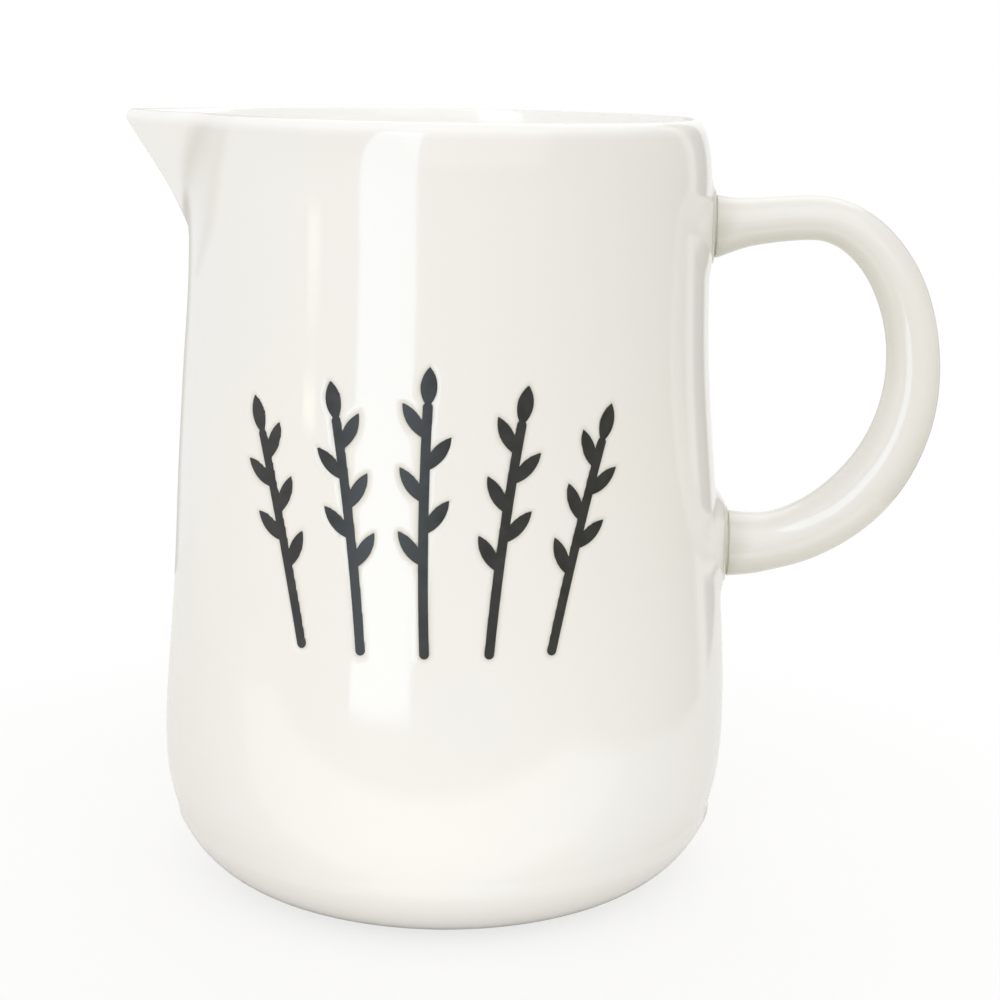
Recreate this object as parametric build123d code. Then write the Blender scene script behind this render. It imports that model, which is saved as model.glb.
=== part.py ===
from build123d import *
import math
import os

# A glazed ceramic pitcher for syrup, in millimetres.
# The origin is the centre of the foot on the standing plane. +Z is up, the spout points
# along -X, the handle stands out along +X and the decorated front faces -Y.

# Body
HEIGHT = 140.0          # standing plane to the top of the rim
BELLY_RADIUS = 52.8     # widest outside radius
BELLY_HEIGHT = 22.0     # height of that widest ring
NECK_RADIUS = 47.0      # outside radius of the straight neck
NECK_LENGTH = 16.0      # from the rim down to where the taper begins
WALL = 4.0              # thickness of the wall
LIP_DRAW = 3.4          # how far the rim draws in, from the neck to its crest
LIP_DRAW_HEIGHT = 11.5  # height over which it draws in
LIP_INNER_HEIGHT = 3.0  # height of the rounding on the inside of the rim

# Floor and foot
FOOT_RADIUS = 36.0      # outside radius of the foot ring
FOOT_WIDTH = 7.0        # width of the bare ring that meets the table
FOOT_RECESS = 1.6       # how far the underside stands above the table
FOOT_CHAMFER = 0.4      # bevel on both lower edges of the ring
HEEL_LIFT = 0.5         # the glazed heel ends this far above the table
FLOOR = 5.0             # thickness of the floor

# Spout
SPOUT_NOSE_RADIUS = 1.6  # rounding of the nose, seen from above
SPOUT_HALF_WIDTH = 26.0  # half the width of the piece let into the rim
SPOUT_SEAT = 29.0       # from the rim down to the seat of that piece
SPOUT_SINK = 1.0        # how deep in the wall each side ends
SPOUT_NOSE_DRAW = 1.3   # how far the nose draws in for each mm that the sides do
SPOUT_EDGE_INSETS = ((0.6, 0.25), (0.0, 1.2))  # (depth below the rim, inset) of its edge

# Level sections: depth below the rim, how far the nose stands out from the neck, and the
# angle from -X at which each side ends in the wall. The lowest one lies within the wall.
SPOUT_ROWS = (
    (1.6, 12.0, 37.0),
    (8.3, 7.7, 36.0),
    (13.6, 4.4, 34.5),
    (18.9, 1.8, 32.0),
    (24.0, -0.5, 28.0),
    (28.0, -2.0, 24.0),
)

# Handle, in the plane Y = 0
BOW_TOP_DROP = 17.1     # from the rim down to the highest point of the centre line
BOW_ROOT_DIP = 1.4      # how far below that the centre line leaves the upper collar
BOW_LOW_HEIGHT = 62.4   # height of the centre line where it meets the lower collar
BOW_WAIST_HEIGHT = 95.0  # height at which the bow stands out furthest
BOW_REACH = 84.8        # from the axis of the body to the centre line there
BOW_TOP_BEND = 19.2     # how far the upper bend reaches in from there
BOW_LOW_BEND = 31.0     # how far the lower bend reaches in from there
BAR_DEPTH_RATIO = 1.08  # breadth of the bar along Y over its thickness
COLLAR_HEIGHT_TOP = 0.9  # how far the upper collar stands out of the wall
COLLAR_HEIGHT_LOW = 1.6
COLLAR_SHOULDER = 0.4   # how far a collar's face is wider than the bar, all round
COLLAR_FLARE = 3.4      # how far its root is wider than its face, all round
COLLAR_ROOT = 3.0       # how far its root reaches behind its face before trimming
COLLAR_KNEE = 0.8       # how far behind its face the flare turns out
COLLAR_KNEE_FLARE = 0.9  # how far it is wider than its face there

# Thickness of the bar, by share of the way from the upper collar to the lower one
BAR_THICKNESS = (
    (0.0, 10.8),
    (0.03, 9.5),
    (0.08, 8.5),
    (0.17, 8.2),
    (0.28, 8.7),
    (0.38, 9.3),
    (0.5, 9.9),
    (0.62, 10.8),
    (0.74, 11.5),
    (0.85, 11.0),
    (0.92, 10.9),
    (0.96, 11.7),
    (1.0, 12.5),
)

# Pressed motif on the front: five sprigs that fan out from a common base
SPRIG_COUNT = 5
SPRIG_BASE_HEIGHT = 54.5  # height of the foot of each stem
SPRIG_PITCH = 12.0      # angle about Z from one sprig to the next, in degrees
SPRIG_LEAN = 8.0        # how much more each next stem leans outwards, in degrees
SPRIG_BEND = 5.0        # how far a stem turns outwards along its length, in degrees
SPRIG_LENGTH = 40.5     # length of the middle stem, without its bud
SPRIG_SHORTENING = 2.6  # how much shorter each next stem is
STROKE = 1.6            # width of a stem
LEAF_LENGTH = 7.0
LEAF_WIDTH = 2.3
LEAF_SPREAD = 36.0      # angle between a leaf and its stem, in degrees
LEAF_FIRST = 0.36       # share of the stem below the first leaf
LEAF_COUNT = 5
BUD_LENGTH = 6.5
BUD_WIDTH = 2.7
GROOVE_DEPTH = 0.6      # depth of the pressed lines
GLAZE_RECESS = 0.15     # how far the black glaze lies below the wall


def wall_radius(height):
    """Outside radius of the tapered wall: a smooth step from the belly to the neck."""
    taper_top = HEIGHT - NECK_LENGTH
    share = (height - BELLY_HEIGHT) / (taper_top - BELLY_HEIGHT)
    share = min(max(share, 0.0), 1.0)
    step = share * share * (3.0 - 2.0 * share)
    return BELLY_RADIUS + (NECK_RADIUS - BELLY_RADIUS) * step


def taper(inset):
    """The tapered stretch of the wall. Evenly spaced heights make it match wall_radius."""
    low = BELLY_HEIGHT
    high = HEIGHT - NECK_LENGTH
    third = (high - low) / 3.0
    return Bezier(
        (BELLY_RADIUS - inset, 0, low),
        (BELLY_RADIUS - inset, 0, low + third),
        (NECK_RADIUS - inset, 0, high - third),
        (NECK_RADIUS - inset, 0, high),
    )


def quarter(centre, across, up, start):
    """A quarter of an ellipse in the plane Y = 0, with angles from +X towards +Z."""
    plane = Plane(origin=(centre[0], 0, centre[1]), x_dir=(1, 0, 0), z_dir=(0, -1, 0))
    return plane * EllipticalCenterArc((0, 0), across, up, start, arc_size=90)


def spin(edges):
    """Revolve a closed outline in the plane Y = 0 about Z."""
    return revolve(make_face(Wire(edges)), Axis.Z, 360)


def wall_edges():
    """Closed section of the wall: heel, taper, neck, rim, and back down the inside."""
    crest = NECK_RADIUS - LIP_DRAW
    inner_neck = NECK_RADIUS - WALL
    taper_top = HEIGHT - NECK_LENGTH
    floor_top = FOOT_RECESS + FLOOR
    draw_start = HEIGHT - LIP_DRAW_HEIGHT
    inner_start = HEIGHT - LIP_INNER_HEIGHT
    heel_width = BELLY_RADIUS - FOOT_RADIUS
    return [
        quarter((FOOT_RADIUS, BELLY_HEIGHT), heel_width, BELLY_HEIGHT - HEEL_LIFT, -90),
        taper(0),
        Line((NECK_RADIUS, 0, taper_top), (NECK_RADIUS, 0, draw_start)),
        quarter((crest, draw_start), LIP_DRAW, LIP_DRAW_HEIGHT, 0),
        quarter((crest, inner_start), crest - inner_neck, LIP_INNER_HEIGHT, 90),
        Line((inner_neck, 0, inner_start), (inner_neck, 0, taper_top)),
        taper(WALL),
        quarter((FOOT_RADIUS, BELLY_HEIGHT), heel_width - WALL, BELLY_HEIGHT - floor_top, -90),
        Line((FOOT_RADIUS, 0, floor_top), (FOOT_RADIUS, 0, HEEL_LIFT)),
    ]


def filled_taper(inset):
    """The full round of the body from belly to rim, drawn in by an inset."""
    top = HEIGHT + WALL
    taper_top = HEIGHT - NECK_LENGTH
    neck = NECK_RADIUS - inset
    return spin([
        taper(inset),
        Line((neck, 0, taper_top), (neck, 0, top)),
        Line((neck, 0, top), (0, 0, top)),
        Line((0, 0, top), (0, 0, BELLY_HEIGHT)),
        Line((0, 0, BELLY_HEIGHT), (BELLY_RADIUS - inset, 0, BELLY_HEIGHT)),
    ])


def spout_section(depth, stand_out, side_angle, inset):
    """One level section of the spout: two straight sides that meet in a round nose.

    An inset draws the whole outline in."""
    height = HEIGHT - depth
    reach = NECK_RADIUS + stand_out - SPOUT_NOSE_DRAW * inset
    base_radius = NECK_RADIUS - SPOUT_SINK - inset
    angle = math.radians(side_angle)
    base = Vector(-base_radius * math.cos(angle), base_radius * math.sin(angle))
    centre = Vector(SPOUT_NOSE_RADIUS - reach, 0)
    to_base = base - centre
    turn = math.acos(SPOUT_NOSE_RADIUS / to_base.length) + math.atan2(to_base.Y, to_base.X)
    touch = centre + Vector(math.cos(turn), math.sin(turn)) * SPOUT_NOSE_RADIUS
    left_touch = (touch.X, touch.Y, height)
    right_touch = (touch.X, -touch.Y, height)
    left_base = (base.X, base.Y, height)
    right_base = (base.X, -base.Y, height)
    return make_face(Wire([
        Line(left_base, left_touch),
        ThreePointArc(left_touch, (-reach, 0, height), right_touch),
        Line(right_touch, right_base),
        Line(right_base, left_base),
    ]))


def spout_form(inset, edge_draw):
    """The spout as a filled form. Its upper edge draws in where edge_draw is 1.

    Where it is -1 the edge flares out, and the form runs on above the rim, as a cutter."""
    main = [spout_section(*row, inset) for row in reversed(SPOUT_ROWS)]
    top_row = SPOUT_ROWS[0]
    edge = [spout_section(*top_row, inset)]
    for depth, draw in SPOUT_EDGE_INSETS:
        edge.append(spout_section(depth, top_row[1], top_row[2], inset + edge_draw * draw))
    if edge_draw < 0:
        last_inset = inset + edge_draw * SPOUT_EDGE_INSETS[-1][1]
        edge.append(spout_section(-WALL, top_row[1], top_row[2], last_inset))
    return loft(main) + loft(edge, ruled=True)


def vessel():
    """Wall and spout as one hollow form, before the spout is cut out as its own piece."""
    hollow = filled_taper(WALL)
    stand_out = spout_form(0.0, 1) - hollow
    channel = spout_form(WALL, -1)
    return (spin(wall_edges()) + stand_out) - channel


def spout_seat():
    """The block of space, cut square through the rim, that the spout is let into."""
    near = 0.5 * NECK_RADIUS
    far = NECK_RADIUS + SPOUT_ROWS[0][1] + WALL
    block = Box(far - near, 2 * SPOUT_HALF_WIDTH, 2 * SPOUT_SEAT)
    return Pos(-0.5 * (near + far), 0, HEIGHT) * block


def leaf(start, heading, length, width):
    """A pointed leaf: two arcs that meet at both ends."""
    along = Vector(math.cos(heading), math.sin(heading))
    across = Vector(-along.Y, along.X)
    tip = start + along * length
    middle = start + along * (0.5 * length)
    left = ThreePointArc(start, middle + across * (0.5 * width), tip)
    right = ThreePointArc(tip, middle - across * (0.5 * width), start)
    return make_face(Wire([left, right]))


def sprig_outline(order):
    """Flat outline of one sprig. order counts outwards from the middle, minus to the left."""
    length = SPRIG_LENGTH - SPRIG_SHORTENING * abs(order)
    outwards = -1 if order < 0 else 1
    lean = SPRIG_LEAN * order
    first_heading = math.radians(90 - lean + 0.5 * SPRIG_BEND * outwards)
    radius = length / math.radians(SPRIG_BEND)
    tangent = (math.cos(first_heading), math.sin(first_heading))
    stem = JernArc((0, 0), tangent, radius, -SPRIG_BEND * outwards)
    outline = SlotArc(stem, STROKE)
    for number in range(LEAF_COUNT):
        share = LEAF_FIRST + (1.0 - LEAF_FIRST) * number / LEAF_COUNT
        side = outwards if number % 2 else -outwards
        direction = stem % share
        heading = math.atan2(direction.Y, direction.X) - side * math.radians(LEAF_SPREAD)
        outline = outline + leaf(stem @ share, heading, LEAF_LENGTH, LEAF_WIDTH)
    end = stem % 1
    return outline + leaf(stem @ 1, math.atan2(end.Y, end.X), BUD_LENGTH, BUD_WIDTH)


def sprig_prism(order):
    """The sprig's outline carried straight through the front of the wall, at its own angle."""
    front = Plane(origin=(0, 0, SPRIG_BASE_HEIGHT), x_dir=(1, 0, 0), z_dir=(0, -1, 0))
    prism = extrude(front * sprig_outline(order), BELLY_RADIUS + WALL)
    return Rot(0, 0, SPRIG_PITCH * order) * prism


def bow_path():
    """Centre line of the handle, from the upper collar's face to the lower one's.

    The upper run leaves the collar level, and rises in an S to the height of the bend."""
    top = HEIGHT - BOW_TOP_DROP
    top_run_start = upper_face_x()
    top_run_end = BOW_REACH - BOW_TOP_BEND
    third = (top_run_end - top_run_start) / 3.0
    low_run_start = BOW_REACH - BOW_LOW_BEND
    low_drop = BOW_WAIST_HEIGHT - BOW_LOW_HEIGHT
    upper = quarter((top_run_end, BOW_WAIST_HEIGHT), BOW_TOP_BEND, top - BOW_WAIST_HEIGHT, 0)
    lower = quarter((low_run_start, BOW_WAIST_HEIGHT), BOW_LOW_BEND, low_drop, -90)
    return Wire([
        Bezier(
            (top_run_start, 0, bow_root_height()),
            (top_run_start + third, 0, bow_root_height()),
            (top_run_end - third, 0, top),
            (top_run_end, 0, top),
        ),
        upper,
        lower,
        Line((low_run_start, 0, BOW_LOW_HEIGHT), (lower_face_x(), 0, BOW_LOW_HEIGHT)),
    ])


def bow_root_height():
    """Height of the centre line where it leaves the upper collar."""
    return HEIGHT - BOW_TOP_DROP - BOW_ROOT_DIP


def upper_face_x():
    """Distance from the body's axis to the face of the upper collar."""
    return NECK_RADIUS + COLLAR_HEIGHT_TOP


def lower_face_x():
    """Distance from the body's axis to the face of the lower collar."""
    return wall_radius(BOW_LOW_HEIGHT) + COLLAR_HEIGHT_LOW


def bar_section(origin, direction, thickness, margin):
    """An oval across the bar, thickness high and a little broader along Y."""
    plane = Plane(origin=origin, x_dir=(0, 1, 0), z_dir=direction)
    half = 0.5 * thickness
    return plane * Ellipse(half * BAR_DEPTH_RATIO + margin, half + margin)


def handle_bow():
    """The D-shaped bar, lofted through ovals across its centre line."""
    path = bow_path()
    return loft([
        bar_section(path @ share, path % share, thickness, 0.0)
        for share, thickness in BAR_THICKNESS
    ])


def collar(face_x, height, thickness):
    """A flared stub on the wall. Its flat face carries the end of the bar."""
    rows = (
        (COLLAR_ROOT, COLLAR_FLARE),
        (COLLAR_KNEE, COLLAR_KNEE_FLARE),
        (0.0, 0.0),
    )
    sections = []
    for behind, flare in rows:
        origin = (face_x - behind, 0, height)
        sections.append(bar_section(origin, (1, 0, 0), thickness, COLLAR_SHOULDER + flare))
    return loft(sections) - filled_taper(0.0)


def base_slab():
    """The floor, a disc that closes the ring of the wall."""
    disc = Cylinder(FOOT_RADIUS, FLOOR, align=(Align.CENTER, Align.CENTER, Align.MIN))
    return Pos(0, 0, FOOT_RECESS) * disc


def foot_ring():
    """The bare ring under the floor, with both lower edges bevelled."""
    inner = FOOT_RADIUS - FOOT_WIDTH
    bevel = FOOT_CHAMFER
    corners = [
        (inner + bevel, 0, 0),
        (FOOT_RADIUS - bevel, 0, 0),
        (FOOT_RADIUS, 0, bevel),
        (FOOT_RADIUS, 0, FOOT_RECESS),
        (inner, 0, FOOT_RECESS),
        (inner, 0, bevel),
    ]
    return spin(Polyline(*corners, close=True).edges())


def build():
    """Every piece of the pitcher, by name."""
    form = vessel()
    seat = spout_seat()
    groove_floor = filled_taper(GROOVE_DEPTH)
    glaze_level = filled_taper(GLAZE_RECESS)
    wall = form - seat
    pieces = {}
    middle = SPRIG_COUNT // 2
    for number in range(SPRIG_COUNT):
        prism = sprig_prism(number - middle)
        wall = wall - (prism - groove_floor)
        pieces["sprig_inlay_" + str(number + 1)] = (prism & glaze_level) - groove_floor
    pieces["body_wall"] = wall
    pieces["spout"] = form & seat
    pieces["base_slab"] = base_slab()
    pieces["foot_ring"] = foot_ring()
    pieces["handle_bow"] = handle_bow()
    upper = collar(upper_face_x(), bow_root_height(), BAR_THICKNESS[0][1])
    pieces["handle_upper_collar"] = upper
    pieces["handle_lower_collar"] = collar(lower_face_x(), BOW_LOW_HEIGHT, BAR_THICKNESS[-1][1])
    return pieces


os.makedirs("parts", exist_ok=True)
for name, piece in build().items():
    export_step(piece, "parts/" + name + ".step")
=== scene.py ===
import math

import bmesh
import bpy
from mathutils import Matrix, Vector, noise
from mathutils.bvhtree import BVHTree


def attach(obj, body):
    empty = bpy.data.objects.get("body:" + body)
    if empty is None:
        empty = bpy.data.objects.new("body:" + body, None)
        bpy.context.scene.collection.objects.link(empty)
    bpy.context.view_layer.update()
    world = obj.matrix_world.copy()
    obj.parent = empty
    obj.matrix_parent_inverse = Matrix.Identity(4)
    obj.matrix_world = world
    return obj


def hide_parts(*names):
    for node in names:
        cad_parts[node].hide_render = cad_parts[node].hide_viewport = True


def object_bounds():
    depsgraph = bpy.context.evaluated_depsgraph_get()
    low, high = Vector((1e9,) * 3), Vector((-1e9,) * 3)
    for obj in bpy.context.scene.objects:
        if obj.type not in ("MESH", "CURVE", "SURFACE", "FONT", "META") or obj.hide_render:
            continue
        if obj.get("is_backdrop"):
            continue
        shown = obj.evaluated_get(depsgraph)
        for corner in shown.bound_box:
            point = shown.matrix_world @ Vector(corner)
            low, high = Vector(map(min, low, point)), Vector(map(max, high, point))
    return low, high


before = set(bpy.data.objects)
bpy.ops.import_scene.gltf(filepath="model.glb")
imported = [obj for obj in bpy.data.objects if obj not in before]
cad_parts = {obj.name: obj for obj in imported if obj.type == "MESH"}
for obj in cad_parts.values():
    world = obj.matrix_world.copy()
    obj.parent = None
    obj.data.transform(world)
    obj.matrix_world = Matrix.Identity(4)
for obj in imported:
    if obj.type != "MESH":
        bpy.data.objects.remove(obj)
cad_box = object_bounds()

# ------------------------------------------------------------------ body, floor and spout
# The body is one hollow piece of white stoneware: a wall that tapers up from a round heel,
# with its floor, and a spout pulled out of the rim. The rim is sponged round while the clay
# is soft, and the whole piece is dipped in a warm white glaze, down to the bare foot.
MM = 0.001

# Sizes are in millimetres. Heights are above the table, and the axis of the wall is Z.
HEIGHT = 140.0
BELLY_RADIUS = 52.8
BELLY_HEIGHT = 22.0
NECK_RADIUS = 47.0
NECK_START = 124.0
WALL = 4.0
LIP_DRAW = 3.4
LIP_START = 128.5
LIP_INNER_START = 137.0
FOOT_RADIUS = 36.0
FOOT_RECESS = 1.6
HEEL_LIFT = 0.5
FLOOR_TOP = 6.6
MOTIF_LOW = 52.0
MOTIF_HIGH = 103.0
CHANNEL_LOW = 106.0


def smooth(share):
    """A soft step from 0 to 1."""
    share = min(max(share, 0.0), 1.0)
    return share * share * (3.0 - 2.0 * share)


def wall_radius(height):
    """Outside radius of the wall, from the belly up to the straight neck."""
    share = (height - BELLY_HEIGHT) / (NECK_START - BELLY_HEIGHT)
    return BELLY_RADIUS + (NECK_RADIUS - BELLY_RADIUS) * smooth(share)


def arc(centre, across, up, start, end, steps):
    """Points (radius, height) along part of an ellipse, after the first."""
    points = []
    for step in range(1, steps + 1):
        angle = math.radians(start + (end - start) * step / steps)
        points.append((centre[0] + across * math.cos(angle), centre[1] + up * math.sin(angle)))
    return points


def along_wall(first, last, inset, steps):
    """Points (radius, height) along the wall, drawn in by an inset, after the first."""
    heights = [first + (last - first) * step / steps for step in range(1, steps + 1)]
    return [(wall_radius(height) - inset, height) for height in heights]


def level(first, last, height, steps):
    """Points (radius, height) along a level stretch, after the first."""
    return [(first + (last - first) * step / steps, height) for step in range(1, steps + 1)]


# The section goes from the middle of the underside, up the outside and over the rim, to the
# middle of the floor. Its steps are finer over the motif and, inside, above CHANNEL_LOW, where
# the spout's channel opens into the wall.
crest_radius = NECK_RADIUS - LIP_DRAW
inner_neck = NECK_RADIUS - WALL
heel_width = BELLY_RADIUS - FOOT_RADIUS
heel_drop = BELLY_HEIGHT - HEEL_LIFT
outline = [(0.0, FOOT_RECESS)]
outline += level(0.0, FOOT_RADIUS, FOOT_RECESS, 4)
outline += arc((FOOT_RADIUS, BELLY_HEIGHT), heel_width, heel_drop, -90, 0, 22)
outline += along_wall(BELLY_HEIGHT, MOTIF_LOW, 0.0, 20)
outline += along_wall(MOTIF_LOW, MOTIF_HIGH, 0.0, 84)
outline += along_wall(MOTIF_HIGH, LIP_START, 0.0, 26)
outline += arc((crest_radius, LIP_START), LIP_DRAW, HEIGHT - LIP_START, 0, 90, 14)
outline += arc((crest_radius, LIP_INNER_START), crest_radius - inner_neck,
               HEIGHT - LIP_INNER_START, 90, 180, 10)
outline += along_wall(LIP_INNER_START, CHANNEL_LOW, WALL, 24)
outline += along_wall(CHANNEL_LOW, BELLY_HEIGHT, WALL, 16)
outline += arc((FOOT_RADIUS, BELLY_HEIGHT), heel_width - WALL, BELLY_HEIGHT - FLOOR_TOP, 0, -90, 10)
outline += level(FOOT_RADIUS, 0.0, FLOOR_TOP, 5)

# The section is turned about the axis in stretches: fine steps where the motif, the handle and
# the ridge of the spout lie, and wider ones between. Rows: first and last angle, in degrees from
# the handle, and steps.
SECTORS = (
    (-132.0, -48.0, 153),
    (-48.0, -18.0, 20),
    (-18.0, 18.0, 40),
    (18.0, 140.0, 61),
    (140.0, 175.0, 35),
    (175.0, 185.0, 20),
    (185.0, 228.0, 43),
)
STRETCH = 16
MERGE_DISTANCE = 1e-4


def turned(points, sectors):
    """A mesh of a section turned about Z, spun in short stretches, which is quick, and joined."""
    form = bmesh.new()
    for first, last, steps in sectors:
        step = math.radians(last - first) / steps
        for done in range(0, steps, STRETCH):
            start = math.radians(first) + done * step
            count = min(STRETCH, steps - done)
            stretch = bmesh.new()
            side = [stretch.verts.new((radius * math.cos(start), radius * math.sin(start), height))
                    for radius, height in points]
            section = side + [stretch.edges.new(pair) for pair in zip(side, side[1:])]
            bmesh.ops.spin(stretch, geom=section, cent=(0, 0, 0), axis=(0, 0, 1),
                           angle=count * step, steps=count)
            sheet = bpy.data.meshes.new("stretch")
            stretch.to_mesh(sheet)
            stretch.free()
            form.from_mesh(sheet)
            bpy.data.meshes.remove(sheet)
    bmesh.ops.remove_doubles(form, verts=form.verts, dist=MERGE_DISTANCE)
    bmesh.ops.recalc_face_normals(form, faces=form.faces)
    return form


# The spout is a V in plan: two flat sides that meet in a round nose. Its ridge leans in towards
# the neck on the way down. Rows: depth below the rim, how far the nose stands out from the neck,
# and the angle from the ridge at which each side runs into the wall. There the sides have sunk
# a little into the wall, and past it they fall away behind it. The crease between spout and wall
# is rounded, the clay is thicker at the ridge, and the spout's edge is thinner than the rim.
SPOUT_ROWS = (
    (1.6, 12.0, 37.0),
    (8.3, 7.7, 36.0),
    (13.6, 4.4, 34.5),
    (18.9, 1.8, 32.0),
    (24.0, -0.5, 28.0),
    (28.0, -2.0, 24.0),
)
NOSE_RADIUS = 1.6
NOSE_DRAW = 1.3
SIDE_FALL = 120.0
SPOUT_SINK = 1.0
SPOUT_REGION = 50.0
SPOUT_BLEND = 4.0
CREASE = 2.0
EDGE_HEIGHT = 1.8
EDGE_DRAW = 1.3


def through(rows, at):
    """The other columns of rows, at a value of the first, on a smooth curve through the rows."""
    at = min(max(at, rows[0][0]), rows[-1][0])
    place = max(i for i in range(len(rows) - 1) if rows[i][0] <= at)
    near = [rows[min(max(i, 0), len(rows) - 1)] for i in range(place - 1, place + 3)]
    span = near[2][0] - near[1][0]
    share = (at - near[1][0]) / span
    found = []
    for before, start, end, after in list(zip(*near))[1:]:
        slope_in = (end - before) / (near[2][0] - near[0][0]) * span
        slope_out = (after - start) / (near[3][0] - near[1][0]) * span
        value = start + (end - start) * (3 * share ** 2 - 2 * share ** 3)
        value += slope_in * (share ** 3 - 2 * share ** 2 + share)
        value += slope_out * (share ** 3 - share ** 2)
        found.append(value)
    return found


def spout_radius(angle, height, inset):
    """Distance from the axis to the spout's face, at an angle to either side of its ridge."""
    stand_out, side_angle = through(SPOUT_ROWS, HEIGHT - height)
    centre = NECK_RADIUS + stand_out - NOSE_DRAW * inset - NOSE_RADIUS
    foot = NECK_RADIUS - SPOUT_SINK - inset
    spread = math.radians(side_angle)
    to_foot = Vector((foot * math.cos(spread) - centre, foot * math.sin(spread)))
    facing = math.atan2(to_foot.y, to_foot.x) - math.acos(NOSE_RADIUS / to_foot.length)
    touch = math.atan2(NOSE_RADIUS * math.sin(facing), centre + NOSE_RADIUS * math.cos(facing))
    if angle < touch:
        across = centre * math.sin(angle)
        return centre * math.cos(angle) + math.sqrt(NOSE_RADIUS ** 2 - across ** 2)
    flat = centre * math.cos(facing) + NOSE_RADIUS
    past = max(angle - spread, 0.0)
    return flat / math.cos(angle - past - facing) - SIDE_FALL * past * past


def soft_max(first, second, blend):
    """The larger of two values, rounded off where they are nearly the same."""
    overlap = max(blend - abs(first - second), 0.0) / blend
    return max(first, second) + overlap * overlap * blend / 4.0


# Wet clay was worked out from the wall to the face of each joint of the handle. Rows: height of
# the bar, how far the face stands out from the wall, the radius of the joint, and how far the clay
# is spread to the sides, below and above it. The clay stops FACE_DROP short of the face, which is
# nearly as round as the wall. Out to JOINT_POOL_AND_SHADE the wall is darker: partly gathered
# glaze, partly painted shade round the joint.
JOINTS = (
    (121.5, 0.75, 5.9, 13.0, 5.5, 2.0),
    (62.4, 1.35, 6.7, 13.0, 3.5, 4.5),
)
FACE_DROP = 0.12
FACE_BOW = 0.85
JOINT_POOL_AND_SHADE = 2.6


def bow(radius, y):
    """How far a round wall falls back from its foremost line."""
    return radius - math.sqrt(radius * radius - y * y)


def built_up(x, y, z):
    """How far the wall rises towards the faces of the handle's joints."""
    if x < 0:
        return 0.0
    rise = 0.0
    for height, stand, joint, wide, below, above in JOINTS:
        up = z - height
        tall = above if up > 0 else below
        away = math.hypot(y, up)
        if away > joint + wide:
            continue
        face = wall_radius(height) + stand - FACE_DROP
        goal = math.hypot(face - FACE_BOW * bow(face, y), y) - wall_radius(z)
        spread = math.hypot(y / wide, up / tall) * (away - joint) / max(away, joint)
        rise = max(rise, goal * smooth(1.0 - max(spread, 0.0)))
    return rise


def root_pool_and_shade(x, y, z):
    """How much darker the wall is round the handle's joints, 0 to 1: gathered glaze and painted
    shade.
    """
    if x < 0:
        return 0.0
    away = min(math.hypot(y, z - height) - joint for height, _, joint, _, _, _ in JOINTS)
    return smooth(1.0 - away / JOINT_POOL_AND_SHADE)


# The motif is pressed into the wall and filled with black glaze. The white glaze sinks a little
# at the edge of each line, and the groove under the black goes deeper. Points of the wall with a
# larger share of its thickness than OUTER_FACE are on its outer face.
PRESS_WIDTH = 0.9
PRESS_DEPTH = 0.19
PRESS_REACH = 2.0
GROOVE_DEPTH = 0.35
OUTER_FACE = 0.99
sprigs = [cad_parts["sprig_inlay_%d" % number] for number in range(1, 6)]
line_points = []
line_faces = []
for sprig in sprigs:
    offset = len(line_points)
    line_points += [vertex.co / MM for vertex in sprig.data.vertices]
    line_faces += [[offset + corner for corner in face.vertices] for face in sprig.data.polygons]
lines = BVHTree.FromPolygons(line_points, line_faces)


def pressed(point):
    """How near a point of the wall is to a black line, from 0 to 1, and whether it is under one."""
    if point.y > 0 or not MOTIF_LOW < point.z < MOTIF_HIGH:
        return 0.0, False
    found = lines.find_nearest(point, PRESS_REACH)
    if found[0] is None:
        return 0.0, False
    outward = Vector((point.x, point.y, 0.0)).normalized()
    hit = lines.ray_cast(point + outward, -outward, PRESS_REACH)
    if hit[0] is not None:
        return 1.0, True
    return smooth(1.0 - found[3] / PRESS_WIDTH), False


# The wall was thrown, and isn't quite true. It waves, leans to and from the handle, and falls
# short of its drawn line at two heights. Rows of SLIM: height, how far short it is there, and how
# far up and down that reaches.
WAVE_DEPTH = 0.16
WAVE_SIZE = 26.0
SWAY = 0.3
SWAY_CREST = 50.0
SWAY_LENGTH = 88.0
SWAY_FADE = (94.0, 120.0)
SLIM = ((11.0, 0.80, 18.0), (54.0, 0.28, 24.0))


def slim(z):
    """How far the wall falls short of its drawn line at a height."""
    short = 0.0
    for height, most, spread in SLIM:
        short += most * smooth(1.0 - abs(z - height) / spread)
    return short


def sway(z):
    """How far the wall leans towards the handle at a height."""
    low, high = SWAY_FADE
    lean = SWAY * math.cos(2 * math.pi * (z - SWAY_CREST) / SWAY_LENGTH)
    return lean * (1.0 - smooth((z - low) / (high - low)))


# How deep the glaze lies goes from 0, where it is thin and whitest, through PLAIN_GLAZE to 1, where
# it is pooled and darkest; the same value also carries painted light and shade. It is whiter at the
# rim, a short way down outside, where the glaze thins, and a long way down inside, where the whiter
# colour is painted light on the inner wall. It gathers beside the pressed lines, and round the
# handle's joints and in the creases beside the spout the darker colour is partly gathered glaze and
# partly painted shade.
PLAIN_GLAZE = 0.5
# Inside, the rim's whiter colour reaches this far down the wall as painted light.
RIM_FADE_IN = 24.0
RIM_FADE_OUT = 2.4
RIM_THINNING_AND_LIGHT = 1.4
PRESS_POOL = 0.35
ROOT_POOL_AND_SHADE = 0.5
CREASE_POOL_AND_SHADE = 0.4

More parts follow.
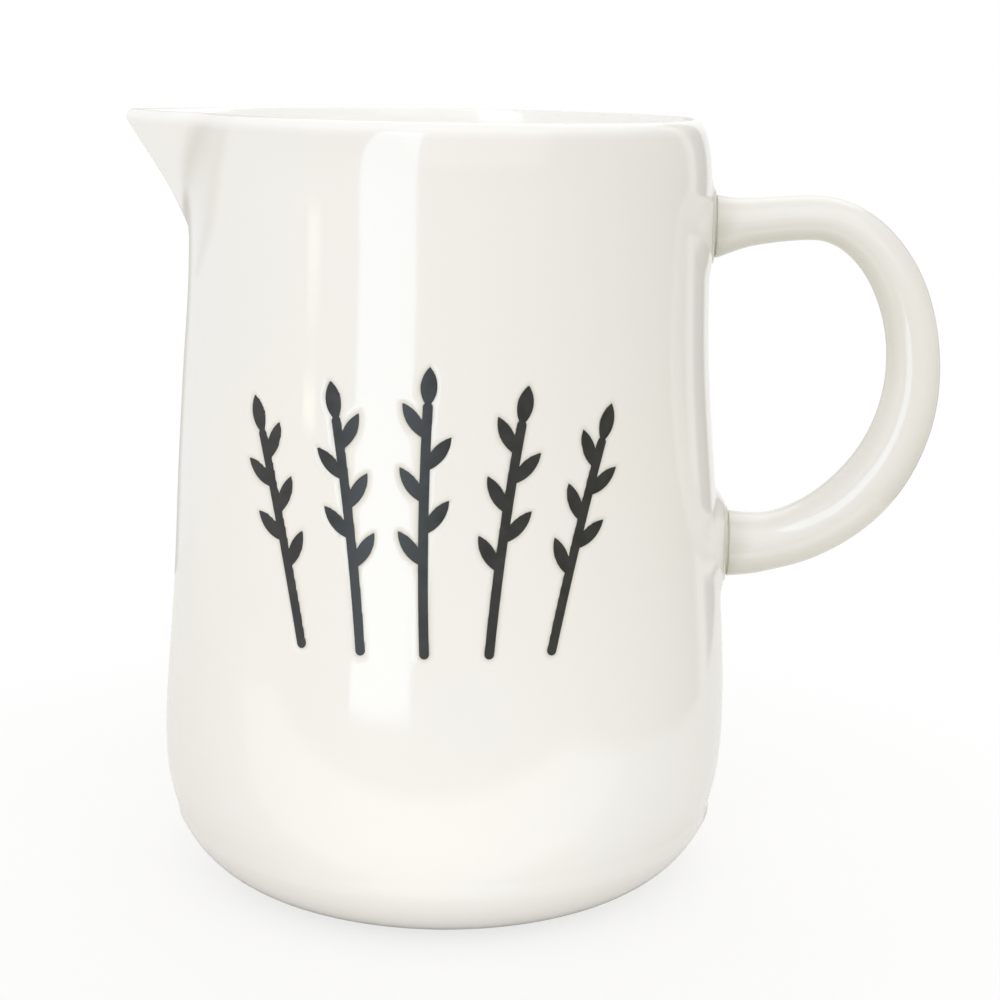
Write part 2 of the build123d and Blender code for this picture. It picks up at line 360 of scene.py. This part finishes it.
body_form = turned(outline, SECTORS)
glaze_depth_and_light = body_form.verts.layers.float.new("glaze_depth_and_light")
for vertex in body_form.verts:
    x, y, z = vertex.co
    radius = math.hypot(x, y)
    vertex[glaze_depth_and_light] = PLAIN_GLAZE
    if z < FOOT_RECESS or radius < FOOT_RADIUS:
        continue
    outer = wall_radius(z)
    share = (radius - (outer - WALL)) / WALL
    inner = outer - WALL
    angle = abs(math.atan2(y, -x))
    is_spout = angle < math.radians(SPOUT_REGION) and HEIGHT - z < SPOUT_ROWS[-1][0]
    wave = WAVE_DEPTH * (0.5 + 0.5 * noise.noise(vertex.co / WAVE_SIZE))
    uneven = (sway(z) * x / radius - slim(z) - wave) * min(max(share, 0.0), 1.0)
    pool_and_shade = 0.0
    if z >= BELLY_HEIGHT:
        rise = built_up(x, y, z) * smooth(share)
        near, beneath = pressed(vertex.co) if share > OUTER_FACE else (0.0, False)
        sunk = GROOVE_DEPTH if beneath else PRESS_DEPTH * near
        outer_here = outer + (uneven + rise) * (1.0 - near) - sunk
        # Round the joints the wall is darkened, partly as gathered glaze and partly as painted
        # shade.
        pool_and_shade = max(PRESS_POOL * near, ROOT_POOL_AND_SHADE * root_pool_and_shade(x, y, z) * smooth(share))
        if is_spout:
            face = spout_radius(angle, z, 0.0)
            channel = spout_radius(angle, z, WALL)
            outer_here = soft_max(outer_here, face, CREASE)
            inner = soft_max(inner, channel, CREASE)
            thick = outer_here - inner
            drawn = EDGE_DRAW / thick
            over = min(max((z - HEIGHT + EDGE_HEIGHT) / EDGE_HEIGHT, 0.0), 1.0)
            crest_share = 1.0 - LIP_DRAW / WALL
            if share >= crest_share - 1e-6:
                spout_share = 1.0 - drawn * (1.0 - math.sqrt(1.0 - over * over))
            else:
                spout_share = (1.0 - drawn) * share / crest_share
            stands = smooth((face - outer) / SPOUT_BLEND)
            share += (spout_share - share) * stands
            # In the crease beside the spout the colour is darkened, partly as gathered glaze,
            # partly as painted shade.
            creased = smooth(1.0 - abs(face - outer) / CREASE)
            pool_and_shade = max(pool_and_shade, CREASE_POOL_AND_SHADE * creased * smooth(share))
        placed = inner + (outer_here - inner) * share
        vertex.co.x *= placed / radius
        vertex.co.y *= placed / radius
        # Whiter near the rim: outside, the glaze thins; inside, far down the wall, it is painted
        # light.
        fade = RIM_FADE_IN if share < 0.5 else RIM_FADE_OUT
        thinned_and_lit = smooth(RIM_THINNING_AND_LIGHT * (z - HEIGHT + fade) / fade)
        vertex[glaze_depth_and_light] = PLAIN_GLAZE + pool_and_shade - PLAIN_GLAZE * thinned_and_lit
    elif share > 0.5:
        vertex.co.x *= 1.0 + uneven / radius
        vertex.co.y *= 1.0 + uneven / radius


def piece_from(form, name, material):
    """A finished piece in metres, smooth all over, from a mesh in millimetres."""
    bmesh.ops.scale(form, vec=(MM, MM, MM), verts=form.verts)
    for face in form.faces:
        face.smooth = True
    mesh = bpy.data.meshes.new(name)
    form.to_mesh(mesh)
    form.free()
    mesh.materials.append(material)
    made = bpy.data.objects.new(name, mesh)
    bpy.context.scene.collection.objects.link(made)
    return made


def new_material(name):
    """A material with its shader, ready for its colour and gloss."""
    made = bpy.data.materials.new(name)
    made.use_nodes = True
    return made, made.node_tree.nodes["Principled BSDF"]


def add(material, kind, inputs, **settings):
    """Add a node to a material or to the room. An input is a value, or the output that feeds it."""
    tree = material.node_tree
    made = tree.nodes.new("ShaderNode" + kind)
    for name, value in settings.items():
        setattr(made, name, value)
    feed(material, made, inputs)
    return made


def feed(material, target, inputs):
    """Set a node's inputs."""
    for name, value in inputs.items():
        if isinstance(value, bpy.types.NodeSocket):
            material.node_tree.links.new(value, target.inputs[name])
        else:
            target.inputs[name].default_value = value


def blended(material, first, second, share):
    """A colour between two colours."""
    mix = add(material, "Mix", {}, data_type="RGBA")
    wanted = (("Factor", "VALUE", share), ("A", "RGBA", first), ("B", "RGBA", second))
    for name, kind, value in wanted:
        places = [number for number, socket in enumerate(mix.inputs)
                  if socket.name == name and socket.type == kind and socket.enabled]
        feed(material, mix, {places[0]: value})
    return [socket for socket in mix.outputs if socket.type == "RGBA" and socket.enabled][0]


def between(material, value, low, high, start=0.0, end=1.0):
    """A value stretched from one range to another, and held at its ends."""
    made = add(material, "MapRange", {"Value": value, "From Min": low, "From Max": high,
                                      "To Min": start, "To Max": end})
    return made.outputs["Result"]


# Warm white glaze over a white body. It lies thin and whiter on the rim, and thicker and a little
# greener where it gathers in creases. The whiter colour also serves as painted light inside the
# mouth, and the darker one as painted shade in creases, round the handle's joints and under the
# handle. Slow drifts in tone, a fine orange peel, and a few iron specks come from the firing. A
# cell of the pattern holds a speck where its random value is over SPECK_CHANCE.
GLAZE = (0.850, 0.828, 0.778, 1.0)
GLAZE_COOL = (0.838, 0.826, 0.796, 1.0)
# Whiter colour: thin glaze on the rim, and painted light inside the mouth.
GLAZE_THIN_AND_LIT = (0.950, 0.945, 0.925, 1.0)
# Darker colour: gathered glaze, and painted shade in creases, round the joints and under the
# handle.
GLAZE_POOLED_AND_SHADED = (0.635, 0.615, 0.535, 1.0)
SPECK = (0.300, 0.225, 0.140, 1.0)
SPECK_CELLS = 60.0
SPECK_CHANCE = (0.940, 0.945)
SPECK_SIZE = (0.008, 0.028)
SPECK_STRENGTH = 0.7
glaze, glaze_shader = new_material("warm_white_glaze")
place = add(glaze, "TexCoord", {}).outputs["Object"]
drift = add(glaze, "TexNoise", {"Vector": place, "Scale": 17.0, "Detail": 2.0}).outputs["Fac"]
tone = blended(glaze, GLAZE, GLAZE_COOL, between(glaze, drift, 0.35, 0.65))
# Painted light and shade: whiter towards 0 inside the mouth, darker towards 1 in creases and under
# the handle.
depth = add(glaze, "Attribute", {}, attribute_name="glaze_depth_and_light").outputs["Fac"]
tone = blended(glaze, tone, GLAZE_THIN_AND_LIT, between(glaze, depth, PLAIN_GLAZE, 0.0))
tone = blended(glaze, tone, GLAZE_POOLED_AND_SHADED, between(glaze, depth, PLAIN_GLAZE, 1.0))
cells = add(glaze, "TexVoronoi", {"Vector": place, "Scale": SPECK_CELLS})
chosen = add(glaze, "SeparateColor", {"Color": cells.outputs["Color"]})
rare = between(glaze, chosen.outputs["Red"], *SPECK_CHANCE)
speck_size = between(glaze, chosen.outputs["Green"], 0.0, 1.0, *SPECK_SIZE)
inside = add(glaze, "Math", {0: cells.outputs["Distance"], 1: speck_size}, operation="LESS_THAN")
speckled = add(glaze, "Math", {0: rare, 1: inside.outputs[0]}, operation="MULTIPLY")
speckled = add(glaze, "Math", {0: speckled.outputs[0], 1: SPECK_STRENGTH}, operation="MULTIPLY")
tone = blended(glaze, tone, SPECK, speckled.outputs[0])
peel = add(glaze, "TexNoise", {"Vector": place, "Scale": 210.0, "Detail": 2.0}).outputs["Fac"]
surface = add(glaze, "Bump", {"Height": peel, "Strength": 1.0, "Distance": 0.000012})
feed(glaze, glaze_shader, {
    "Base Color": tone,
    "Roughness": between(glaze, drift, 0.3, 0.7, 0.06, 0.11),
    "Normal": surface.outputs["Normal"],
    "IOR": 1.52,
})

body = piece_from(body_form, "glazed_body", glaze)
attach(body, "root")
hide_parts("body_wall", "base_slab", "spout")

# ------------------------------------------------------------------ foot ring
# The foot is the one place that stays bare, so that the piece doesn't stick to the kiln shelf.
# It is a turned ring of the same white clay, dry and slightly toasted, with a fine grit.
CLAY = (0.760, 0.700, 0.610, 1.0)
CLAY_TOASTED = (0.640, 0.540, 0.420, 1.0)
GRIT = (0.420, 0.340, 0.260, 1.0)
clay, clay_shader = new_material("bare_clay")
place = add(clay, "TexCoord", {}).outputs["Object"]
toast = add(clay, "TexNoise", {"Vector": place, "Scale": 60.0, "Detail": 4.0}).outputs["Fac"]
tone = blended(clay, CLAY, CLAY_TOASTED, between(clay, toast, 0.40, 0.75))
grain = add(clay, "TexNoise", {"Vector": place, "Scale": 1600.0, "Detail": 3.0}).outputs["Fac"]
tone = blended(clay, tone, GRIT, between(clay, grain, 0.62, 0.80, 0.0, 0.5))
surface = add(clay, "Bump", {"Height": grain, "Strength": 1.0, "Distance": 0.00006})
feed(clay, clay_shader, {"Base Color": tone, "Normal": surface.outputs["Normal"],
                         "Roughness": between(clay, grain, 0.3, 0.7, 0.72, 0.9)})
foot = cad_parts["foot_ring"]
foot.material_slots[0].material = clay

# ------------------------------------------------------------------ black sprigs
# Five sprigs of black glaze lie in lines pressed into the front of the wall. The black fires
# drier than the white, with a satin surface that is slightly worn.
BLACK = (0.022, 0.023, 0.021, 1.0)
BLACK_WORN = (0.032, 0.033, 0.031, 1.0)
black, black_shader = new_material("black_glaze")
place = add(black, "TexCoord", {}).outputs["Object"]
wear = add(black, "TexNoise", {"Vector": place, "Scale": 420.0, "Detail": 3.0}).outputs["Fac"]
surface = add(black, "Bump", {"Height": wear, "Strength": 1.0, "Distance": 0.000003})
feed(black, black_shader, {
    "Base Color": blended(black, BLACK, BLACK_WORN, between(black, wear, 0.35, 0.75)),
    "Roughness": between(black, wear, 0.3, 0.7, 0.32, 0.44),
    "Normal": surface.outputs["Normal"],
    "IOR": 1.52,
})
for sprig in sprigs:
    sprig.material_slots[0].material = black

# ------------------------------------------------------------------ handle bar
# The handle is a pulled bar of clay, nearly round, bent into a D. It is thin where it leaves the
# rim and swells towards its lower root, and it is luted on before the piece is glazed.
BAR_ROOT = JOINTS[0][0]
BAR_TOP = 122.9
BAR_LOW = JOINTS[1][0]
BAR_WAIST = 95.0
BAR_OUT = 84.8
TOP_BEND = 19.2
LOW_BEND = 31.0
UPPER_FACE = wall_radius(BAR_ROOT) + JOINTS[0][1]
LOWER_FACE = wall_radius(BAR_LOW) + JOINTS[1][1]
BREADTH = 1.08
TOP_STEPS = 40

# Rows: share of the way along the bar, and its thickness there, in the plane of the handle. It is
# BREADTH times as wide across that plane.
THICKNESS = (
    (0.0, 10.8), (0.03, 9.5), (0.08, 8.5), (0.17, 8.2), (0.28, 8.7), (0.38, 9.3), (0.5, 9.9),
    (0.62, 10.8), (0.74, 11.5), (0.85, 11.0), (0.92, 10.9), (0.96, 11.7), (1.0, 12.5),
)
BAR_SIDES = 48
BAR_RINGS = 116
BAR_WAVE = 0.16
BAR_WAVE_SIZE = 12.0

# The bar is darker at both ends, mostly below, partly as gathered glaze and partly as painted
# shade, and its underside is darker as painted shade.
BAR_GATHER_AND_SHADE = 5.5
GATHER_AND_SHADE_DEPTH = 0.75
GATHER_SHADE_TILT = 0.35
BAR_UNDERSIDE_SHADE = 0.15
BAR_SHADE_TILT = 0.85

line = [(UPPER_FACE, BAR_ROOT)]
line += [(x, BAR_ROOT + (BAR_TOP - BAR_ROOT) * smooth((step + 1) / TOP_STEPS))
         for step, (x, _) in enumerate(level(UPPER_FACE, BAR_OUT - TOP_BEND, BAR_TOP, TOP_STEPS))]
line += arc((BAR_OUT - TOP_BEND, BAR_WAIST), TOP_BEND, BAR_TOP - BAR_WAIST, 90, 0, 120)
line += arc((BAR_OUT - LOW_BEND, BAR_WAIST), LOW_BEND, BAR_WAIST - BAR_LOW, 0, -90, 160)
line += level(BAR_OUT - LOW_BEND, LOWER_FACE, BAR_LOW, 4)
travel = [0.0]
for before, after in zip(line, line[1:]):
    travel.append(travel[-1] + math.dist(before, after))


def on_line(share):
    """Place and heading on the bar's centre line, a share of the way along it."""
    goal = min(max(share, 0.0), 1.0) * travel[-1]
    step = max(i for i in range(len(line) - 1) if travel[i] <= goal)
    part = (goal - travel[step]) / (travel[step + 1] - travel[step])
    here, there = Vector(line[step]), Vector(line[step + 1])
    at = here + (there - here) * part
    return Vector((at.x, 0, at.y)), math.atan2(there.y - here.y, there.x - here.x)


def ring(form, centre, heading, tall, broad, sides):
    """An oval ring across a bar that runs in the plane of the handle."""
    turn = Matrix.Rotation(-heading, 4, "Y") @ Matrix.Rotation(math.pi / 2, 4, "Y")
    size = Matrix.Diagonal((tall, broad, 1.0, 1.0))
    made = bmesh.ops.create_circle(form, segments=sides, radius=1.0,
                                   matrix=Matrix.Translation(centre) @ turn @ size)
    corners = made["verts"]
    return corners, list(dict.fromkeys(edge for corner in corners for edge in corner.link_edges))


def skinned(form, rings):
    """Faces from each ring to the next, and a cap on both ends."""
    for (_, edges), (_, following) in zip(rings, rings[1:]):
        bmesh.ops.bridge_loops(form, edges=edges + following)
    for corners, _ in (rings[0], rings[-1]):
        bmesh.ops.contextual_create(form, geom=corners)
    bmesh.ops.recalc_face_normals(form, faces=form.faces)


# Each end draws in a little where it meets its bead, which leaves a fine groove round the joint.
# The rings across the bar lie closer there. Distances are along the bar, from the joint's face.
# The lower half of the bar flares at its upper root.
DRAW_IN = 0.34
DRAW_LENGTH = 0.5
END_RINGS = (
    -1.4, -0.7, -0.3, -0.1, 0.0, 0.04, 0.1, 0.18, 0.28, 0.4, 0.55, 0.8, 1.2, 1.7, 2.4, 3.2,
)
ROOT_FLARE = 0.16
ROOT_FLARE_LENGTH = 6.5
bar_form = bmesh.new()
length = travel[-1]
first, last = END_RINGS[-1], length - END_RINGS[-1]
places = list(END_RINGS)
places += [first + (last - first) * number / BAR_RINGS for number in range(1, BAR_RINGS)]
places += [length - away for away in reversed(END_RINGS)]
rings = []
for along in places:
    share = min(max(along / length, 0.0), 1.0)
    centre, heading = on_line(share)
    from_end = min(along, length - along)
    centre.x += min(from_end, 0.0)
    turned_in = min(max(1.0 - from_end / DRAW_LENGTH, 0.0), 1.0)
    thickness = through(THICKNESS, share)[0]
    size = 0.5 * thickness - DRAW_IN * (1.0 - math.sqrt(1.0 - turned_in ** 2))
    rings.append(ring(bar_form, centre, heading, size, size * BREADTH, BAR_SIDES))
    flare = 1.0 + ROOT_FLARE * smooth(1.0 - along / ROOT_FLARE_LENGTH)
    for corner in rings[-1][0]:
        if corner.co.z < centre.z:
            corner.co.z = centre.z + (corner.co.z - centre.z) * flare
skinned(bar_form, rings)
bar_glaze_and_shade = bar_form.verts.layers.float.new("glaze_depth_and_light")
bar_form.normal_update()
for vertex in bar_form.verts:
    from_wall = vertex.co.x - (UPPER_FACE if vertex.co.z > BAR_WAIST else LOWER_FACE)
    # Painted shade: darker towards the ends and on faces that point down, by the normal's tilt.
    gathered_and_shaded = smooth(1.0 - from_wall / BAR_GATHER_AND_SHADE) * (GATHER_AND_SHADE_DEPTH - GATHER_SHADE_TILT * vertex.normal.z)
    pool_and_underside_shade = max(gathered_and_shaded, BAR_UNDERSIDE_SHADE - BAR_SHADE_TILT * vertex.normal.z)
    vertex[bar_glaze_and_shade] = PLAIN_GLAZE + (1.0 - PLAIN_GLAZE) * pool_and_underside_shade
    vertex.co -= vertex.normal * BAR_WAVE * (0.5 + 0.5 * noise.noise(vertex.co / BAR_WAVE_SIZE))

bar = piece_from(bar_form, "handle_bar", glaze)
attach(bar, "root")
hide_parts("handle_bow")

# ------------------------------------------------------------------ handle roots
# Each end of the bar is luted to the wall with soft clay, which stands round the joint as a
# rounded bead and is smoothed out over the wall with a damp finger.

# Rows, from the wall over the bead's crest and in under the bar: how far it lies outside the bar,
# and how far it stands out from the face of the joint. Its glaze is thinnest on the crest, and it
# is darker down into the wall and in under the bar, partly as gathered glaze and partly as painted
# shade.
BEAD = (
    (1.5, -1.3), (1.15, -0.62), (0.9, -0.26), (0.72, -0.09), (0.54, -0.01), (0.38, 0.0),
    (0.22, -0.04), (0.08, -0.15), (-0.06, -0.34), (-0.2, -0.65), (-0.4, -1.2),
)
BEAD_SIDES = 64
BEAD_GLAZE = 0.6
BEAD_POOL_AND_SHADE = 0.4
BEAD_FALL = 0.8
roots = (
    ("upper_root", "handle_upper_collar", UPPER_FACE, BAR_ROOT, THICKNESS[0][1], 1.0 + ROOT_FLARE),
    ("lower_root", "handle_lower_collar", LOWER_FACE, BAR_LOW, THICKNESS[-1][1], 1.0),
)
for name, node, face, height, size, flare in roots:
    bead_form = bmesh.new()
    rings = []
    for margin, stand in BEAD:
        tall = 0.5 * size + margin
        broad = 0.5 * size * BREADTH + margin
        centre = Vector((face + stand, 0.0, height))
        corners, edges = ring(bead_form, centre, 0.0, tall, broad, BEAD_SIDES)
        for corner in corners:
            corner.co.x -= FACE_BOW * bow(face, corner.co.y)
            if corner.co.z < height:
                corner.co.z = height + (corner.co.z - height) * flare
        rings.append((corners, edges))
    skinned(bead_form, rings)
    bead_glaze_and_shade = bead_form.verts.layers.float.new("glaze_depth_and_light")
    for vertex in bead_form.verts:
        from_crest = abs(vertex.co.x - face)
        # Darker away from the crest, into the crevices at the wall and under the bar: partly
        # painted shade.
        vertex[bead_glaze_and_shade] = BEAD_GLAZE + BEAD_POOL_AND_SHADE * smooth(from_crest / BEAD_FALL)
    root = piece_from(bead_form, name, glaze)
    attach(root, "root")
    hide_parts(node)

# ------------------------------------------------------------------ table, light and camera
# A matt, pale painted table in a bright room. The table is seen as white, and darker only in the
# soft shadow, which fades from SHADOW_NEAR to SHADOW_FAR, in metres from the axis of the pitcher.
WHITE = (1.0, 1.0, 1.0, 1.0)
TABLE = (0.90, 0.89, 0.87, 1.0)
TABLE_FRONT = -140.0
TABLE_BACK = 200.0
TABLE_LEFT = -320.0
TABLE_RIGHT = 160.0
SHADOW_NEAR = 0.09
SHADOW_FAR = 0.155
SHADOW_LIFT = 0.75
table_form = bmesh.new()
bmesh.ops.create_grid(table_form, x_segments=1, y_segments=1, size=1.0)
bmesh.ops.scale(table_form, verts=table_form.verts,
                vec=(0.5 * (TABLE_RIGHT - TABLE_LEFT), 0.5 * (TABLE_BACK - TABLE_FRONT), 1.0))
bmesh.ops.translate(table_form, verts=table_form.verts,
                    vec=(0.5 * (TABLE_RIGHT + TABLE_LEFT), 0.5 * (TABLE_BACK + TABLE_FRONT), 0.0))
paint, paint_shader = new_material("table_paint")
feed(paint, paint_shader, {"Base Color": TABLE, "Roughness": 0.6})
rays = add(paint, "LightPath", {})
place = add(paint, "TexCoord", {}).outputs["Object"]
away = add(paint, "VectorMath", {0: place}, operation="LENGTH").outputs["Value"]
lifted = between(paint, away, SHADOW_NEAR, SHADOW_FAR, SHADOW_LIFT, 1.0)
seen = add(paint, "Math", {0: rays.outputs["Is Camera Ray"], 1: lifted}, operation="MULTIPLY")
white = add(paint, "Emission", {"Color": WHITE, "Strength": 1.0})
mixed = add(paint, "MixShader", {0: seen.outputs[0], 1: paint_shader.outputs["BSDF"],
                                 2: white.outputs["Emission"]})
ends = [node for node in paint.node_tree.nodes if node.type == "OUTPUT_MATERIAL"]
feed(paint, ends[0], {"Surface": mixed.outputs["Shader"]})
table = piece_from(table_form, "table", paint)
table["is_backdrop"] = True

# The room is white behind the pitcher and to its left, but for one dimmer band, and dimmer and
# warmer in front and to its right, where the edges of a door show as bands. It is white overhead.
# Rows: degrees round from the back, and colour. Reflections show it as it is. What it lights gets
# DAYLIGHT with a share of ROOM_TINT of the room, and the camera sees plain white.
ROOM = (
    (-180.0, (0.42, 0.42, 0.41)), (-120.0, (0.55, 0.55, 0.54)), (-60.0, (0.95, 0.95, 0.95)),
    (-31.0, (0.95, 0.95, 0.95)), (-26.0, (0.62, 0.61, 0.57)), (-10.0, (0.62, 0.61, 0.57)),
    (-6.0, (1.0, 1.0, 1.0)), (24.0, (1.0, 1.0, 1.0)), (28.0, (0.34, 0.32, 0.27)),
    (41.0, (0.34, 0.32, 0.27)), (45.0, (1.0, 0.99, 0.95)), (49.0, (1.0, 0.99, 0.95)),
    (54.0, (0.46, 0.44, 0.36)), (110.0, (0.36, 0.33, 0.22)), (180.0, (0.42, 0.42, 0.41)),
)
CEILING_EDGE = (0.45, 0.75)
DAYLIGHT = (0.838, 0.836, 0.828, 1.0)
ROOM_TINT = 0.24
world = bpy.data.worlds.new("room")
bpy.context.scene.world = world
world.use_nodes = True
rays = add(world, "LightPath", {}).outputs
toward = add(world, "TexCoord", {}).outputs["Generated"]
split = add(world, "SeparateXYZ", {"Vector": toward}).outputs
round_from_back = add(world, "Math", {0: split["X"], 1: split["Y"]}, operation="ARCTAN2")
turn = between(world, round_from_back.outputs[0], -math.pi, math.pi)
walls = add(world, "ValToRGB", {"Fac": turn})

# A new ramp has two stops already.
stops = walls.color_ramp.elements
for number, (degrees, colour) in enumerate(ROOM):
    at = degrees / 360.0 + 0.5
    stop = stops[number] if number < 2 else stops.new(at)
    stop.position = at
    stop.color = (*colour, 1.0)
overhead = between(world, split["Z"], *CEILING_EDGE)
mirrored = blended(world, walls.outputs["Color"], WHITE, overhead)
tinted = add(world, "Math", {0: rays["Is Glossy Ray"], 1: ROOM_TINT}, operation="MAXIMUM")
lit = blended(world, DAYLIGHT, mirrored, tinted.outputs[0])
either = add(world, "Math", {0: rays["Is Camera Ray"], 1: rays["Is Transmission Ray"]},
             operation="MAXIMUM")
feed(world, world.node_tree.nodes["Background"],
     {"Color": blended(world, lit, WHITE, either.outputs[0]), "Strength": 1.0})

# Soft rectangular lamps, out of the camera's sight. The window and the warm lamp only show in the
# glaze, and the light in the mouth and off the table only lights it. Rows, in metres: name, place,
# what it points at, width and height, strength, colour, whether it lights surfaces, and whether
# it shows in gloss.
MIDDLE = (0.0, 0.0, 0.07)
PLAIN = (1.0, 1.0, 1.0)
LAMPS = (
    ("tall_window", (-0.33, -0.84, 0.52), (0.0, 0.0, 0.52), (0.38, 1.28), 2.95,
     (0.62, 0.78, 1.0), False, True),
    ("ceiling", (0.28, -0.95, 0.95), MIDDLE, (1.4, 1.4), 0.66, (0.99, 0.99, 1.0), True, True),
    ("back_light", (0.1, 0.75, 1.1), MIDDLE, (1.2, 0.8), 0.75, PLAIN, True, True),
    ("table_glow", (-0.06, -0.105, 0.0005), (-0.06, -0.105, 1.0), (0.40, 0.09), 0.50,
     PLAIN, True, True),
    ("mouth_fill", (0.0, 0.0, 0.09), (0.0, 0.0, 0.2), (0.05, 0.05), 2.1, PLAIN, True, False),
    ("warm_lamp", (-0.695, -0.505, 0.0535), MIDDLE, (0.085, 0.022), 2.8,
     (1.0, 0.92, 0.62), False, True),
    ("table_bounce", (-0.55, -0.62, -0.45), MIDDLE, (1.0, 0.8), 1.10, PLAIN, True, False),
)
for name, stand, aim, size, strength, colour, lights, shows in LAMPS:
    light = bpy.data.lights.new(name, "AREA")
    light.shape = "RECTANGLE"
    light.size, light.size_y = size
    light.energy = strength * math.pi * size[0] * size[1]
    light.color = colour
    lamp = bpy.data.objects.new(name, light)
    lamp.visible_camera = False
    lamp.visible_diffuse = lights
    lamp.visible_glossy = shows
    lamp.location = stand
    lamp.rotation_euler = (Vector(aim) - Vector(stand)).to_track_quat("-Z", "Y").to_euler()
    bpy.context.scene.collection.objects.link(lamp)

# The camera stands in front, a little above the rim, and looks slightly down. Metres and radians.
EYE_PLACE = (0.0255, -0.3645, 0.1505)
EYE_LEFT = 0.0430
EYE_DOWN = 0.2188
EYE_ROLL = 0.0170
camera = bpy.data.cameras.new("camera")
camera.lens = 72.0
camera.sensor_width = 36.0
eye = bpy.data.objects.new("camera", camera)
eye.matrix_world = (Matrix.Translation(EYE_PLACE)
                    @ Matrix.Rotation(EYE_LEFT, 4, "Z")
                    @ Matrix.Rotation(math.pi / 2 - EYE_DOWN, 4, "X")
                    @ Matrix.Rotation(EYE_ROLL, 4, "Z"))
bpy.context.scene.collection.objects.link(eye)
bpy.context.scene.camera = eye
bpy.context.scene.view_settings.view_transform = "Standard"

corners = {"cad": [list(corner) for corner in cad_box],
           "visual": [list(corner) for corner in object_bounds()]}
